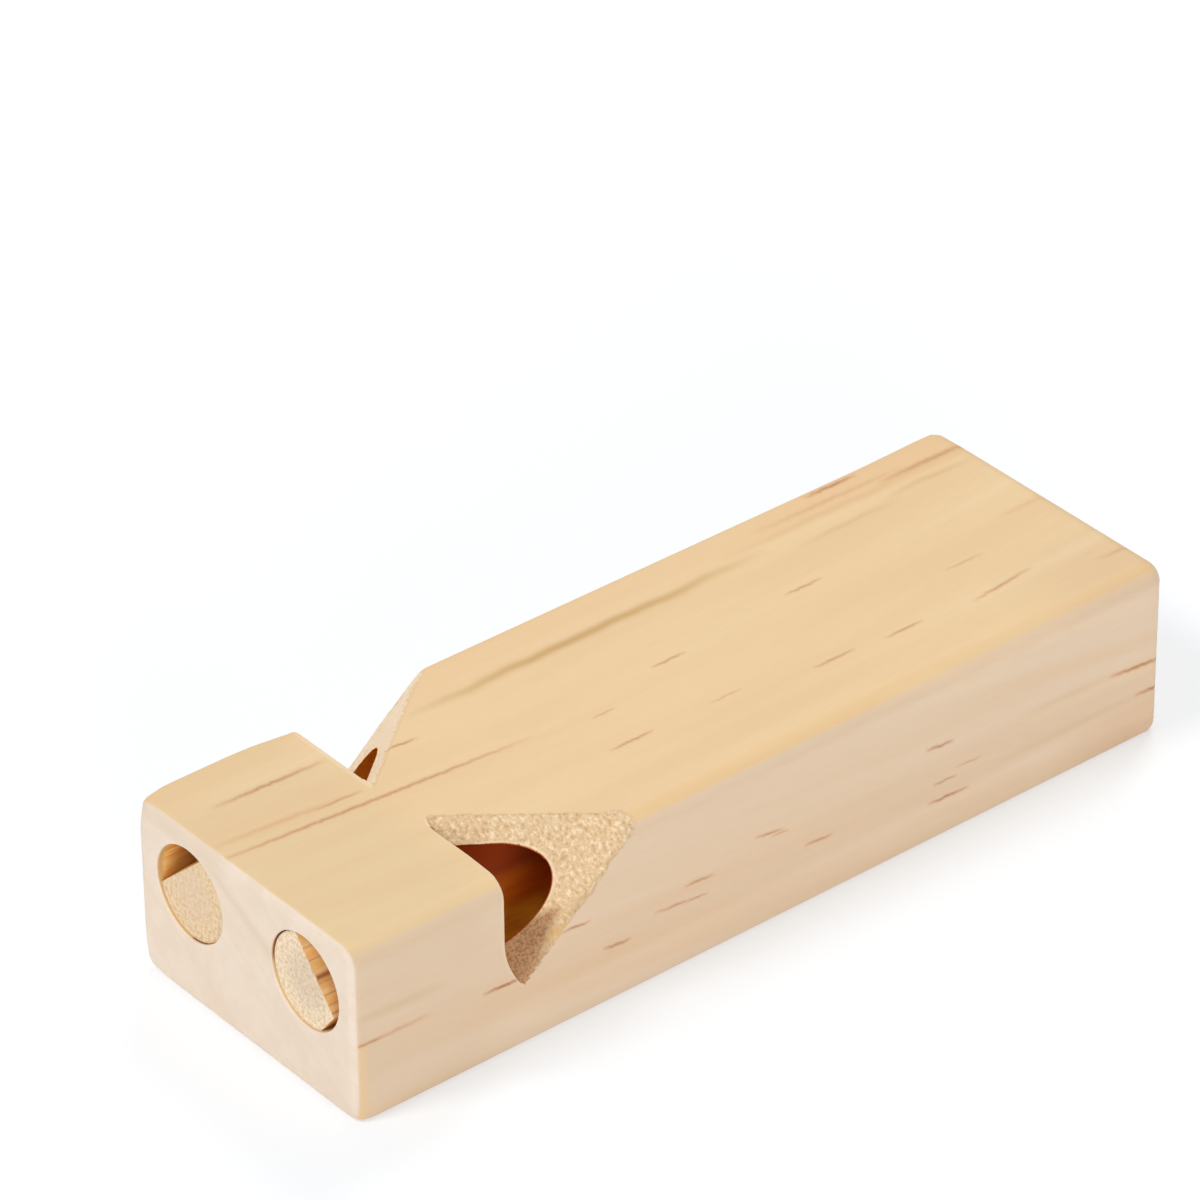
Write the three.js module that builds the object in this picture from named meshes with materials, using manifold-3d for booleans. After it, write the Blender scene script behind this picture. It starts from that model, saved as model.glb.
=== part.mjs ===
// A two-note wooden whistle: a block with two blind bores drilled from its mouth end, a window cut across
// each long top edge, and in the mouth of each bore a dowel plug whose flat leaves a slot for the breath.
// Millimetres, +Z up. X runs along the block, with the mouth end at -X. Right and left are the player's:
// the right side is -Y and the left side is +Y. The origin is the middle of the underside.

import * as THREE from "three";
import { mergeVertices } from "three/addons/utils/BufferGeometryUtils.js";
import Module from "manifold-3d";

// The block, planed and then sanded round along its edges
const LENGTH = 98;
const WIDTH = 32;
const HEIGHT = 19;
const RIGHT_TOP_EDGE_RADIUS = 2.1;
const LEFT_TOP_EDGE_RADIUS = 1.2;
const BASE_EDGE_RADIUS = 1.1;
const END_EDGE_RADIUS = 1.0;

// The bores: one drill, two depths, so that the two pipes sound two notes
const BORE_RADIUS = 4.95;
const TOP_WALL = 1.8;
const LEFT_SIDE_WALL = 2.85;
const RIGHT_SIDE_WALL = 2.05;
const LEFT_BORE_DEPTH = 88;
const RIGHT_BORE_DEPTH = 76;
const DRILL_POINT_ANGLE = 118;

// The windows: an upright stop wall, a small round root and a ramp that rises to the block's edge.
// A turn is the angle above the horizontal, in degrees, of the way that a cut or a flat faces.
const MOUTH_LENGTH = 17.25;
const WINDOW_LENGTH = 15.8;
const RAMP_ANGLE = 30.6;
const ROOT_RADIUS = 0.7;
const WINDOW_TURN = 42.5;

// The plugs: dowel ends set a little inside the mouth, each with a flat that closes in towards the window
const PLUG_CLEARANCE = 0.2;
const PLUG_RECESS = 0.3;
const LEFT_FLAT_TURN = 48;
const RIGHT_FLAT_TURN = 39;
const LEFT_SLOT_AT_MOUTH = 2.75;
const RIGHT_SLOT_AT_MOUTH = 3.5;
const SLOT_AT_WINDOW = 1.2;

// The right plug's flat is sanded away once more below, by this much under the dowel's round
const RIGHT_EASE_DEPTH = 0.65;
const RIGHT_EASE_TURN = -38;

// How finely round things are cut, how far a cutter runs past the surface that it opens, and the distance
// within which two corners are one
const ROUND_SIDES = 72;
const EDGE_STEPS = 6;
const END_STEPS = 4;
const ROOT_STEPS = 6;
const OVERRUN = 2;
const SAME_POINT = 1e-4;

const MOUTH_X = -LENGTH / 2;
const STOP_X = MOUTH_X + MOUTH_LENGTH;
const RAMP_START_X = STOP_X + WINDOW_LENGTH;
const BORE_Z = HEIGHT - TOP_WALL - BORE_RADIUS;
const LEFT_BORE_Y = WIDTH / 2 - LEFT_SIDE_WALL - BORE_RADIUS;
const RIGHT_BORE_Y = -(WIDTH / 2 - RIGHT_SIDE_WALL - BORE_RADIUS);
const PLUG_RADIUS = BORE_RADIUS - PLUG_CLEARANCE;

const radians = THREE.MathUtils.degToRad;

const wasm = await Module();
wasm.setup();

// Geometry and solid
function solidFrom(geometry) {
  const bare = geometry.index ? geometry.toNonIndexed() : geometry.clone();
  bare.deleteAttribute("normal");
  bare.deleteAttribute("uv");
  const merged = mergeVertices(bare, SAME_POINT);
  return new wasm.Manifold(new wasm.Mesh({
    numProp: 3,
    vertProperties: new Float32Array(merged.attributes.position.array),
    triVerts: new Uint32Array(merged.index.array),
  }));
}

function geometryFrom(solid) {
  const mesh = solid.getMesh();
  const geometry = new THREE.BufferGeometry();
  geometry.setAttribute("position", new THREE.BufferAttribute(mesh.vertProperties, 3));
  geometry.setIndex(new THREE.BufferAttribute(mesh.triVerts, 1));
  geometry.computeVertexNormals();
  return geometry;
}

// The block's end outline, in Y and Z, with round corners
function blockOutline() {
  const half = WIDTH / 2;
  const base = BASE_EDGE_RADIUS;
  const left = LEFT_TOP_EDGE_RADIUS;
  const right = RIGHT_TOP_EDGE_RADIUS;
  const outline = new THREE.Shape();
  outline.absarc(half - base, base, base, -Math.PI / 2, 0, false);
  outline.absarc(half - left, HEIGHT - left, left, 0, Math.PI / 2, false);
  outline.absarc(right - half, HEIGHT - right, right, Math.PI / 2, Math.PI, false);
  outline.absarc(base - half, base, base, Math.PI, Math.PI * 1.5, false);
  return outline;
}

function block() {
  const geometry = new THREE.ExtrudeGeometry(blockOutline(), {
    depth: LENGTH - 2 * END_EDGE_RADIUS,
    curveSegments: EDGE_STEPS,
    bevelThickness: END_EDGE_RADIUS,
    bevelSize: END_EDGE_RADIUS,
    bevelOffset: -END_EDGE_RADIUS,
    bevelSegments: END_STEPS,
  });
  const alongX = new THREE.Matrix4().makeBasis(
    new THREE.Vector3(0, 1, 0),
    new THREE.Vector3(0, 0, 1),
    new THREE.Vector3(1, 0, 0),
  );
  geometry.applyMatrix4(alongX);
  geometry.translate(MOUTH_X + END_EDGE_RADIUS, 0, 0);
  return solidFrom(geometry);
}

// A round bar along X whose profile gives its radius at each distance from the mouth
function turned(profile, y) {
  const points = profile.map(([x, radius]) => new THREE.Vector2(radius, x));
  const geometry = new THREE.LatheGeometry(points, ROUND_SIDES);
  geometry.rotateZ(-Math.PI / 2);
  geometry.translate(MOUTH_X, y, BORE_Z);
  return solidFrom(geometry);
}

function bore(y, depth) {
  const point = BORE_RADIUS / Math.tan(radians(DRILL_POINT_ANGLE / 2));
  return turned([[-OVERRUN, 0], [-OVERRUN, BORE_RADIUS], [depth, BORE_RADIUS], [depth + point, 0]], y);
}

// A cut that runs straight across, from a profile in X and in the distance along the way that it faces
function crossCut(profile, outward, turn, y, z) {
  const geometry = new THREE.ExtrudeGeometry(profile, {
    depth: WIDTH,
    curveSegments: ROOT_STEPS,
    bevelEnabled: false,
  });
  geometry.translate(0, 0, -WIDTH / 2);
  geometry.rotateX(outward > 0 ? radians(turn) : radians(180 - turn));
  geometry.translate(0, y, z);
  return solidFrom(geometry);
}

// The window's profile is measured from the block's long top edge before that edge is rounded
function windowCut(outward) {
  const slope = Math.tan(radians(RAMP_ANGLE));
  const rootX = STOP_X + ROOT_RADIUS;
  const rootR = (rootX - RAMP_START_X) * slope + ROOT_RADIUS / Math.cos(radians(RAMP_ANGLE));
  const profile = new THREE.Shape();
  profile.moveTo(STOP_X, OVERRUN);
  profile.lineTo(STOP_X, rootR);
  profile.absarc(rootX, rootR, ROOT_RADIUS, Math.PI, Math.PI * 1.5 + radians(RAMP_ANGLE), false);
  profile.lineTo(RAMP_START_X + OVERRUN / slope, OVERRUN);
  profile.closePath();
  return crossCut(profile, outward, WINDOW_TURN, outward * WIDTH / 2, HEIGHT);
}

// What is sanded off a dowel: everything further out than a plane that tapers along X
function flatCut(atMouth, atWindow, outward, turn, y) {
  const slope = (atWindow - atMouth) / MOUTH_LENGTH;
  const profile = new THREE.Shape();
  profile.moveTo(MOUTH_X - OVERRUN, atMouth - slope * OVERRUN);
  profile.lineTo(STOP_X + OVERRUN, atWindow + slope * OVERRUN);
  profile.lineTo(STOP_X + OVERRUN, BORE_RADIUS + OVERRUN);
  profile.lineTo(MOUTH_X - OVERRUN, BORE_RADIUS + OVERRUN);
  profile.closePath();
  return crossCut(profile, outward, turn, y, BORE_Z);
}

function dowel(y) {
  const profile = [[PLUG_RECESS, 0], [PLUG_RECESS, PLUG_RADIUS], [MOUTH_LENGTH, PLUG_RADIUS], [MOUTH_LENGTH, 0]];
  return turned(profile, y);
}

function whistleBody() {
  return block()
    .subtract(bore(LEFT_BORE_Y, LEFT_BORE_DEPTH))
    .subtract(bore(RIGHT_BORE_Y, RIGHT_BORE_DEPTH))
    .subtract(windowCut(1))
    .subtract(windowCut(-1));
}

function leftPlug() {
  const atMouth = BORE_RADIUS - LEFT_SLOT_AT_MOUTH;
  const atWindow = BORE_RADIUS - SLOT_AT_WINDOW;
  return dowel(LEFT_BORE_Y).subtract(flatCut(atMouth, atWindow, 1, LEFT_FLAT_TURN, LEFT_BORE_Y));
}

function rightPlug() {
  const atMouth = BORE_RADIUS - RIGHT_SLOT_AT_MOUTH;
  const atWindow = BORE_RADIUS - SLOT_AT_WINDOW;
  const eased = PLUG_RADIUS - RIGHT_EASE_DEPTH;
  return dowel(RIGHT_BORE_Y)
    .subtract(flatCut(atMouth, atWindow, -1, RIGHT_FLAT_TURN, RIGHT_BORE_Y))
    .subtract(flatCut(eased, PLUG_RADIUS, -1, RIGHT_EASE_TURN, RIGHT_BORE_Y));
}

const planedPine = new THREE.MeshStandardMaterial({ color: 0xe6c99d, roughness: 0.68, metalness: 0 });
const dowelWood = new THREE.MeshStandardMaterial({ color: 0xe4cda6, roughness: 0.8, metalness: 0 });

function named(name, solid, material) {
  const mesh = new THREE.Mesh(geometryFrom(solid), material.clone());
  mesh.name = name;
  return mesh;
}

const whistle = new THREE.Group();
whistle.name = "wooden_whistle";
whistle.add(named("whistle_body", whistleBody(), planedPine));
whistle.add(named("left_fipple_plug", leftPlug(), dowelWood));
whistle.add(named("right_fipple_plug", rightPlug(), dowelWood));

export default whistle;
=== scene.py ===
# A two-note wooden whistle on a white table, in soft daylight from the front and above.
# Metres, +Z up. X runs along the block, with the mouth end at -X. Right and left are the player's:
# the right side is -Y and the left side is +Y.

from math import atan2, cos, hypot, pi, radians, sin, sqrt, tan

import bmesh
import bpy
from mathutils import Matrix, Vector, noise


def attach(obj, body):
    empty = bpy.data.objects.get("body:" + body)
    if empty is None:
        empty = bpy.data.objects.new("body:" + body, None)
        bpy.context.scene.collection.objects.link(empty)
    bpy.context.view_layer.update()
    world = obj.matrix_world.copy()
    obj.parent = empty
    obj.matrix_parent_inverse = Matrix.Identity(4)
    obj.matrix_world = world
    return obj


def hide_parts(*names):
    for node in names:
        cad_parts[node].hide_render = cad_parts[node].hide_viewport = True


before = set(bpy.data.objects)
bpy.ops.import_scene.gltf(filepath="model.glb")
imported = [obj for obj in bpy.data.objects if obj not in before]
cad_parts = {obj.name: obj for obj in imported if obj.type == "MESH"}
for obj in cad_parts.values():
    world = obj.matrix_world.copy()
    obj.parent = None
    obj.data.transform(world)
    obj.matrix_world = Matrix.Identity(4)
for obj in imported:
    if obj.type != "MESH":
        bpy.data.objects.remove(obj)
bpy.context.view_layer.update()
bpy.ops.object.select_all(action="DESELECT")

MM = 0.001
RIGHT = -1
LEFT = 1

# Two places closer than this are one
SAME_PLACE = 0.01 * MM

# The block, planed and then sanded round along its edges
LENGTH = 98 * MM
WIDTH = 32 * MM
HEIGHT = 19 * MM
MOUTH_X = -LENGTH / 2
RIGHT_TOP_EDGE = 2.1 * MM
LEFT_TOP_EDGE = 0.6 * MM
MOUTH_UPRIGHT_EDGE = 0.9 * MM
FAR_UPRIGHT_EDGE = {LEFT: 1.6 * MM, RIGHT: 1.1 * MM}
BASE_EDGE = {LEFT: 1.4 * MM, RIGHT: 0.5 * MM}
MOUTH_BASE_EDGE = 1.05 * MM
MOUTH_TOP_EDGE = 0.8 * MM
FAR_END_EDGE = 1.65 * MM
EDGE_SEGMENTS = 8

# The left top edge is sanded rounder between two places, and most beside the window. Each row has a
# place in X and the radius there, and the cuts divide the mesh; both are in millimetres
EASED_FROM_X = -39.5 * MM
EASED_TO_X = 46.5 * MM
LEFT_EDGE_RADII = (
    (-39, 0.6),
    (-36.5, 0.72),
    (-34.5, 1.1),
    (-31.7, 1.7),
    (-29.7, 1.7),
    (-24.8, 1.0),
    (38, 1.0),
    (46, 0.65),
)
LEFT_EDGE_CUTS = [-39 + 1.4 * step for step in range(12)] + [0, 20, 38, 40, 42, 44, 46]

# Corners knocked a little rounder: place, depth and reach, and where the mesh is divided for them, in
# millimetres
WORN_CORNERS = (
    ((-49, 16, 19), 0.50, 3.0),
    ((-49, 16, 0), 0.30, 3.6),
    ((-49, -16, 0), 0.34, 2.4),
    ((49, 16, 19), 0.12, 3.4),
)
CORNER_CUTS = (
    ((1, 0, 0), (-47.3, -46.3, -45.0, 45.2, 46.6)),
    ((0, 1, 0), (-14.9, -14.2, 12.6, 13.8, 14.8)),
    ((0, 0, 1), (1.8, 2.8, 3.9, 15.6, 16.7, 17.7)),
)

# The bores: one drill, two depths
BORE_RADIUS = 4.95 * MM
BORE_Z = HEIGHT - 1.8 * MM - BORE_RADIUS
BORE_Y = {LEFT: WIDTH / 2 - 2.85 * MM - BORE_RADIUS, RIGHT: 2.05 * MM + BORE_RADIUS - WIDTH / 2}
BORE_DEPTH = {LEFT: 88 * MM, RIGHT: 76 * MM}
DRILL_POINT = BORE_RADIUS / tan(radians(118 / 2))
BORE_SIDES = 120

# The windows: a stop wall and a ramp, cut straight across each long top edge. "Across" is measured over
# that edge, upwards and inwards, and "out" is the way that the window faces
STOP_X = MOUTH_X + 17.25 * MM
RAMP_START_X = STOP_X + 15.8 * MM
RAMP_ANGLE = radians(30.6)
WINDOW_TURN = radians(42.5)

# The cutter: its mesh, how far its ramp runs past the top, and its size
RAMP_STEP = 0.14 * MM
RAMP_PAST_TOP = 1.5 * MM
CUTTER_HALF_WIDTH = 11 * MM
CUTTER_OUT = 2.5 * MM

# The stop walls stand a little past STOP_X, and the right one leans. Both bow below, and the right one
# above too, by a number of millimetres times the square of the distance past where the bow starts
STOP_FURTHER = {LEFT: 0.32 * MM, RIGHT: 0.08 * MM}
STOP_LEAN = {LEFT: 0, RIGHT: 0.2 * MM}
STOP_LEAN_FROM = 0.5 * MM
STOP_LEAN_TO = 3.5 * MM
STOP_BOW_BELOW = {"from": -5.0 * MM, "at_1_mm": 0.12}
STOP_BOW_ABOVE = {"from": 6.9 * MM, LEFT: 0, RIGHT: 0.32}
STOP_BOW_LIMIT = 3 * MM

# The stop wall's outer edge is eased, away from the bore and from the wall's tips. One of the faces that
# meet in that edge faces aside and the other along X
STOP_EDGE = 0.2 * MM
STOP_EDGE_NEAR_WALL = 0.05 * MM
STOP_EDGE_OFF_BORE = 0.4 * MM
STOP_EDGE_OFF_RAMP = 1.2 * MM
FACING_ASIDE = 0.3
FACING_ALONG = 0.7

# The ramp is sanded lower by the block's top and side, drops at its upper end, swells low down, and is
# twisted and rounded where it meets the bore in the lip
SANDED_AT_TOP = {"reach": 1.0 * MM, "firmness": 4}
SANDED_AT_SIDE = {"reach": 0.5 * MM, "firmness": 6}
SANDED_LIMIT = 1.2
APEX_DROP = {LEFT: 0.2 * MM, RIGHT: 0}
APEX_DROP_OVER = 5 * MM
SWELL = {LEFT: 0, RIGHT: 0.35 * MM}
SWELL_ACROSS = -5.2 * MM
SWELL_HALF_WIDTH = 2.6 * MM
SWELL_OVER = 2.5 * MM
LIP_TWIST = {LEFT: 0, RIGHT: 0.24 * MM}
LIP_TWIST_OVER = 1.5 * MM
LIP_ROUND = 0.12 * MM

# The torn grain on the ramps: its depth, its small tears and its larger lumps. It starts off the lip
# and is weaker low down
TORN_DEPTH = {LEFT: 0.02 * MM, RIGHT: 0.07 * MM}
TEAR_LENGTH = 0.32 * MM
TEAR_WIDTH = 0.46 * MM
TEAR_SEED = 7.3
FINER_TEARS = 2.3
LUMP_LENGTH = 1.4 * MM
LUMP_WIDTH = 1.1 * MM
LUMP_SEED = 3.1
TORN_OFF_LIP = 0.1 * MM
TORN_FULL_OVER = 0.4 * MM
TORN_WEAKER_BELOW = -3 * MM
TORN_WEAKER_OVER = 3 * MM
TORN_LEAST = 0.25

# The bore's roof opens a little just beyond the stop wall
RELIEF_FROM_X = STOP_X - 0.15 * MM
RELIEF_TO_X = STOP_X + 4.25 * MM
RELIEF_RADIUS = 5.16 * MM
RELIEF_END_RADIUS = 4.9 * MM
RELIEF_ASIDE = 0.65 * MM

# The plugs: dowel ends, each with a flat that leaves a slot for the breath
PLUG_RADIUS = {LEFT: BORE_RADIUS - 0.03 * MM, RIGHT: BORE_RADIUS - 0.06 * MM}
PLUG_ASIDE = {LEFT: Vector((0, -0.01, 0.01)) * MM, RIGHT: Vector((0, -0.04, -0.04)) * MM}
PLUG_RECESS = 0.3 * MM
FLAT_TURN = {LEFT: radians(48), RIGHT: radians(39)}
SLOT_AT_MOUTH = {LEFT: 2.75 * MM, RIGHT: 3.5 * MM}
SLOT_AT_WINDOW = 1.2 * MM
EASE_DEPTH = 0.65 * MM
EASE_TURN = radians(-38)

# The eased rims, the angles above which an edge is eased or shaded sharp, and how far a drill starts
# outside the block
BORE_RIM = 0.1 * MM
PLUG_RIM = 0.08 * MM
RIM_SEGMENTS = 3
BORE_RIM_ANGLE = radians(60)
PLUG_RIM_ANGLE = radians(30)
SMOOTH_ANGLE = radians(40)
OVERRUN = 2 * MM


def clamped(value):
    return min(max(value, 0), 1)


# Working on one piece
def choose(piece):
    bpy.ops.object.select_all(action="DESELECT")
    piece.select_set(True)
    bpy.context.view_layer.objects.active = piece


def edit(piece, parts="EDGE"):
    choose(piece)
    bpy.ops.object.mode_set(mode="EDIT")
    bpy.ops.mesh.select_mode(type=parts)
    bpy.ops.mesh.select_all(action="DESELECT")
    return bmesh.from_edit_mesh(piece.data)


def show_chosen(piece, bm):
    bm.select_flush_mode()
    bmesh.update_edit_mesh(piece.data)


def leave_edit():
    bpy.ops.object.mode_set(mode="OBJECT")


def settle(piece, name):
    piece.name = name
    piece.data.name = name
    bpy.ops.object.transform_apply(location=True, rotation=True, scale=True)
    return piece


def apply_modifier(piece, kind, **settings):
    choose(piece)
    modifier = piece.modifiers.new(kind.lower(), kind)
    for key, value in settings.items():
        setattr(modifier, key, value)
    bpy.ops.object.modifier_apply(modifier=modifier.name)


def cut_away(piece, cutter):
    apply_modifier(piece, "BOOLEAN", object=cutter, operation="DIFFERENCE", solver="EXACT")
    bpy.data.objects.remove(cutter)


def divide(piece, way, spots):
    """Divides the mesh straight across one way, through each of the spots."""
    for spot in spots:
        edit(piece)
        bpy.ops.mesh.select_all(action="SELECT")
        bpy.ops.mesh.bisect(plane_co=spot, plane_no=way)
        leave_edit()


def smooth_shading(piece):
    choose(piece)
    bpy.ops.object.shade_smooth_by_angle(angle=SMOOTH_ANGLE)
    apply_modifier(piece, "WEIGHTED_NORMAL", keep_sharp=True)


# The body
def planed_block():
    bpy.ops.mesh.primitive_cube_add(size=1, location=(0, 0, HEIGHT / 2), scale=(LENGTH, WIDTH, HEIGHT))
    block = settle(bpy.context.object, "pine_body")
    bm = edit(block)
    weights = bm.edges.layers.float.new("bevel_weight_edge")
    for edge in bm.edges:
        a, b = (vert.co for vert in edge.verts)
        edge[weights] = edge_round(a, b) / RIGHT_TOP_EDGE
    leave_edit()
    apply_modifier(
        block,
        "BEVEL",
        limit_method="WEIGHT",
        width=RIGHT_TOP_EDGE,
        segments=EDGE_SEGMENTS,
        use_clamp_overlap=False,
    )
    ease_left_edge(block)
    wear_corners(block)
    return block


def edge_round(a, b):
    middle = (a + b) / 2
    along_x = abs(a.x - b.x) > SAME_PLACE
    upright = abs(abs(middle.y) - WIDTH / 2) < SAME_PLACE
    on_top = abs(middle.z - HEIGHT) < SAME_PLACE
    side = RIGHT if middle.y < 0 else LEFT
    if along_x and on_top:
        return RIGHT_TOP_EDGE if side == RIGHT else LEFT_TOP_EDGE
    if along_x:
        return BASE_EDGE[side]
    if upright:
        return MOUTH_UPRIGHT_EDGE if middle.x < 0 else FAR_UPRIGHT_EDGE[side]
    if middle.x > 0:
        return FAR_END_EDGE
    return MOUTH_TOP_EDGE if on_top else MOUTH_BASE_EDGE


def ease_left_edge(block):
    """Sands the left top edge rounder between its two ends, and most beside the window."""
    divide(block, (1, 0, 0), [(place * MM, 0, 0) for place in LEFT_EDGE_CUTS])
    axis_y = WIDTH / 2 - LEFT_TOP_EDGE
    axis_z = HEIGHT - LEFT_TOP_EDGE
    bm = edit(block)
    for vert in bm.verts:
        y, z = vert.co.y - axis_y, vert.co.z - axis_z
        on_edge = y > -SAME_PLACE and z > -SAME_PLACE
        if not on_edge or not EASED_FROM_X < vert.co.x < EASED_TO_X:
            continue
        turn = atan2(z, y)
        radius = left_edge_at(vert.co.x)
        vert.co.y = WIDTH / 2 - radius + radius * cos(turn)
        vert.co.z = HEIGHT - radius + radius * sin(turn)
    leave_edit()


def wear_corners(block):
    for way, places in CORNER_CUTS:
        divide(block, way, [Vector(way) * place * MM for place in places])
    middle = Vector((0, 0, HEIGHT / 2))
    bm = edit(block)
    for place, depth, reach in WORN_CORNERS:
        corner = Vector(place) * MM
        inward = Vector([-1 if here > inside else 1 for here, inside in zip(corner, middle)]).normalized()
        for vert in bm.verts:
            near = clamped(1 - (vert.co - corner).length / (reach * MM))
            vert.co += inward * depth * MM * near
    leave_edit()


def left_edge_at(x):
    for (start, first), (end, last) in zip(LEFT_EDGE_RADII, LEFT_EDGE_RADII[1:]):
        if x / MM <= end:
            share = clamped((x / MM - start) / (end - start))
            return (first + (last - first) * share) * MM
    return LEFT_EDGE_RADII[-1][1] * MM


def bore_cutter(side):
    depth = BORE_DEPTH[side] + OVERRUN
    place = (MOUTH_X - OVERRUN + depth / 2, BORE_Y[side], BORE_Z)
    bpy.ops.mesh.primitive_cylinder_add(
        vertices=BORE_SIDES, radius=BORE_RADIUS, depth=depth, location=place, rotation=(0, pi / 2, 0)
    )
    drill = settle(bpy.context.object, "drill")
    bottom_x = MOUTH_X + BORE_DEPTH[side]
    bm = edit(drill, "FACE")
    for face in bm.faces:
        face.select = face.calc_center_median().x > bottom_x - SAME_PLACE
    show_chosen(drill, bm)
    bpy.ops.mesh.extrude_region_move(TRANSFORM_OT_translate={"value": (DRILL_POINT, 0, 0)})
    bpy.ops.mesh.merge(type="CENTER")
    leave_edit()
    return drill


def relief_cutter(side):
    """A short cone, wide at the stop wall, where it leans up and inwards."""
    middle_x = (RELIEF_FROM_X + RELIEF_TO_X) / 2
    bpy.ops.mesh.primitive_cone_add(
        vertices=BORE_SIDES,
        radius1=RELIEF_RADIUS,
        radius2=RELIEF_END_RADIUS,
        depth=RELIEF_TO_X - RELIEF_FROM_X,
        location=(middle_x, BORE_Y[side], BORE_Z),
        rotation=(0, pi / 2, 0),
    )
    cone = settle(bpy.context.object, "relief_cone")
    bm = edit(cone, "VERT")
    for vert in bm.verts:
        vert.select = vert.co.x < middle_x
    show_chosen(cone, bm)
    bpy.ops.transform.translate(value=across_edge(side) * RELIEF_ASIDE)
    leave_edit()
    return cone


def out_of_edge(side):
    return Vector((0, side * cos(WINDOW_TURN), sin(WINDOW_TURN)))


def across_edge(side):
    return Vector((0, -side * sin(WINDOW_TURN), cos(WINDOW_TURN)))


def edge_line(side):
    return Vector((0, side * WIDTH / 2, HEIGHT))


def stop_wall_x(side, across):
    """The stop wall stands straight across the bore, and its tips bow towards the ramp."""
    below = max(0, STOP_BOW_BELOW["from"] - across) / MM
    above = max(0, across - STOP_BOW_ABOVE["from"]) / MM
    bow = STOP_BOW_BELOW["at_1_mm"] * below * below + STOP_BOW_ABOVE[side] * above * above
    lean = STOP_LEAN[side] * clamped((across - STOP_LEAN_FROM) / (STOP_LEAN_TO - STOP_LEAN_FROM))
    return STOP_X + STOP_FURTHER[side] + lean + min(bow * MM, STOP_BOW_LIMIT)


def ramp_profile(side, share, across):
    """Place in X, and out of the block's edge, at a share of the way up the ramp."""
    foot = stop_wall_x(side, across)
    x = foot + share * (RAMP_START_X + RAMP_PAST_TOP - foot)
    return x, (x - RAMP_START_X) * tan(RAMP_ANGLE)


def torn_grain(side, x, across):
    place = Vector((x / TEAR_LENGTH, across / TEAR_WIDTH, side * TEAR_SEED))
    tears = noise.noise(place) + 0.5 * noise.noise(place * FINER_TEARS)
    lumps = noise.noise(Vector((x / LUMP_LENGTH, across / LUMP_WIDTH, side * LUMP_SEED)))
    return TORN_DEPTH[side] * (tears + 0.5 * lumps)


def window_cutter(side):
    ramp_run = (RAMP_START_X - STOP_X + RAMP_PAST_TOP) / cos(RAMP_ANGLE)
    width = 2 * CUTTER_HALF_WIDTH
    bpy.ops.mesh.primitive_grid_add(
        x_subdivisions=round(ramp_run / RAMP_STEP), y_subdivisions=round(width / RAMP_STEP), size=1
    )
    cutter = bpy.context.object
    cutter.scale = (ramp_run, width, 1)
    cutter.location = (ramp_run / 2, 0, 0)
    settle(cutter, "window_cutter")
    edge_place = edge_line(side)
    outward = out_of_edge(side)
    across_way = across_edge(side)
    bm = edit(cutter, "EDGE")
    for vert in bm.verts:
        run, across = vert.co.x, vert.co.y
        x, r = ramp_profile(side, run / ramp_run, across)
        r += ramp_shape(side, x, r, across)
        vert.co = edge_place + Vector((x, 0, 0)) + outward * r + across_way * across
    for edge in bm.edges:
        edge.select = edge.is_boundary
    show_chosen(cutter, bm)
    bpy.ops.mesh.extrude_edges_move()
    bm = bmesh.from_edit_mesh(cutter.data)
    for vert in bm.verts:
        if vert.select:
            vert.co += outward * (CUTTER_OUT - (vert.co - edge_place).dot(outward))
    bmesh.update_edit_mesh(cutter.data)
    bpy.ops.mesh.edge_face_add()
    bpy.ops.mesh.select_all(action="SELECT")
    bpy.ops.mesh.normals_make_consistent(inside=False)
    leave_edit()
    return cutter


def ramp_shape(side, x, r, across):
    """How far out of its plane the ramp's surface lies; less than nothing where it is sanded lower."""
    to_top = -r * tan(WINDOW_TURN) - across
    to_side = across - r / tan(WINDOW_TURN)
    drop = sanded_edge(to_top, **SANDED_AT_TOP) + sanded_edge(to_side, **SANDED_AT_SIDE)
    drop += APEX_DROP[side] * clamped(1 + (x - RAMP_START_X) / APEX_DROP_OVER)
    low = clamped(1 - ((across - SWELL_ACROSS) / SWELL_HALF_WIDTH) ** 2)
    drop -= SWELL[side] * low * clamped(1 - to_side / SWELL_OVER)
    place = edge_line(side) + out_of_edge(side) * r + across_edge(side) * across
    from_axis = Vector((0, place.y - BORE_Y[side], place.z - BORE_Z))
    from_bore = from_axis.length - BORE_RADIUS
    twist = from_axis.dot(out_of_edge(side)) * from_axis.dot(across_edge(side)) / from_axis.length_squared
    drop -= LIP_TWIST[side] * twist * clamped(1 - from_bore / LIP_TWIST_OVER)
    if 0 < from_bore < LIP_ROUND:
        inside = LIP_ROUND - from_bore
        drop += LIP_ROUND - sqrt(LIP_ROUND * LIP_ROUND - inside * inside)
    torn = clamped((from_bore - TORN_OFF_LIP) / TORN_FULL_OVER)
    torn *= max(clamped(1 + (across - TORN_WEAKER_BELOW) / TORN_WEAKER_OVER), TORN_LEAST)
    return torn * torn_grain(side, x, across) - drop


def sanded_edge(gap, reach, firmness):
    """How much is sanded off at a gap from an edge."""
    near = min(max(0, reach - gap), SANDED_LIMIT * reach)
    return near * near / (firmness * reach)


def round_edges(piece, wanted, radius):
    bm = edit(piece, "EDGE")
    for edge in bm.edges:
        edge.select = wanted(edge)
    show_chosen(piece, bm)
    bpy.ops.mesh.bevel(offset=radius, segments=RIM_SEGMENTS, affect="EDGES", clamp_overlap=False)
    leave_edit()


def on_bore_mouth(edge):
    at_mouth = all(abs(vert.co.x - MOUTH_X) < SAME_PLACE for vert in edge.verts)
    return at_mouth and edge.is_manifold and edge.calc_face_angle(0) > BORE_RIM_ANGLE


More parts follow.
